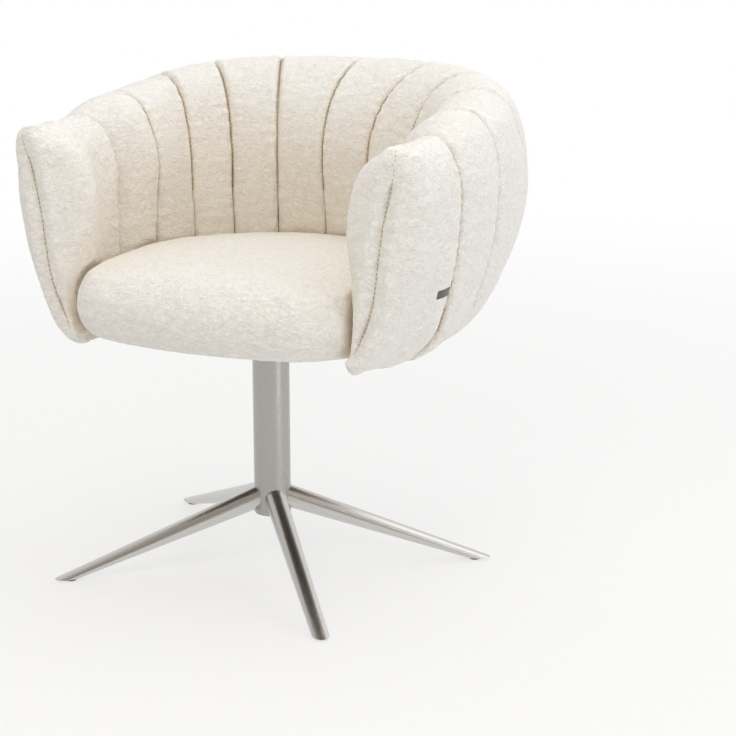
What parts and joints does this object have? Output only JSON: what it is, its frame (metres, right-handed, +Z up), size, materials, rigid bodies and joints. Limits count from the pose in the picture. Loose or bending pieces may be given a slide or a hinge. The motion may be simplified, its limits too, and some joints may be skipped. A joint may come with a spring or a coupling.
{
  "type": "swivel tub chair",
  "caption": "Low upholstered tub chair with a channelled back and arms, turning on a brushed steel column with splayed tapered legs.",
  "frame": {"origin": "on the floor, on the swivel axis, midway across the column", "axes": "+Z up along the swivel axis, -Y the way the sitter faces, +X the sitter's left"},
  "size_m": [0.6342, 0.6009, 0.6785],
  "materials": {
    "brushed_steel_tube": "satin",
    "black_plastic": "matte",
    "nylon_bush": "matte",
    "bearing_steel": "polished",
    "zinc_steel": "zinc plated",
    "black_coated_steel": "powder coated",
    "birch_wood": "bare",
    "black_cloth": "woven",
    "cream_boucle": "looped pile"
  },
  "bodies": {
    "base": {"column_tube": "brushed_steel_tube", "column_cap": "black_plastic", "upper_bush": "nylon_bush", "lower_bush": "nylon_bush", "bearing_lower_race": "bearing_steel", "bearing_balls": "bearing_steel", "bearing_cage": "nylon_bush", "glide_screws": "zinc_steel", "leg_front_left": "brushed_steel_tube", "glide_front_left": "black_plastic", "leg_front_right": "brushed_steel_tube", "glide_front_right": "black_plastic", "leg_rear_left": "brushed_steel_tube", "glide_rear_left": "black_plastic", "leg_rear_right": "brushed_steel_tube", "glide_rear_right": "black_plastic"},
    "seat": {"spindle": "bearing_steel", "spindle_washer": "bearing_steel", "retaining_ring": "bearing_steel", "bearing_upper_race": "bearing_steel", "mounting_plate": "black_coated_steel", "bolt_washers": "zinc_steel", "mounting_bolts": "zinc_steel", "tee_nuts": "zinc_steel", "seat_board": "birch_wood", "bent_wall": "birch_wood", "corner_blocks": "birch_wood", "wall_screws": "zinc_steel", "dust_cover": "black_cloth", "seat_cushion": "cream_boucle", "arm_front_left": "cream_boucle", "arm_front_right": "cream_boucle", "channel_left_1": "cream_boucle", "channel_left_2": "cream_boucle", "channel_left_3": "cream_boucle", "channel_left_4": "cream_boucle", "channel_left_5": "cream_boucle", "channel_right_1": "cream_boucle", "channel_right_2": "cream_boucle", "channel_right_3": "cream_boucle", "channel_right_4": "cream_boucle", "channel_right_5": "cream_boucle"}
  },
  "joints": [
    {"name": "seat_swivel", "type": "hinge", "parent": "base", "child": "seat", "pos_m": [0, 0, 0.3], "axis": [0, 0, 1], "continuous": true}
  ]
}
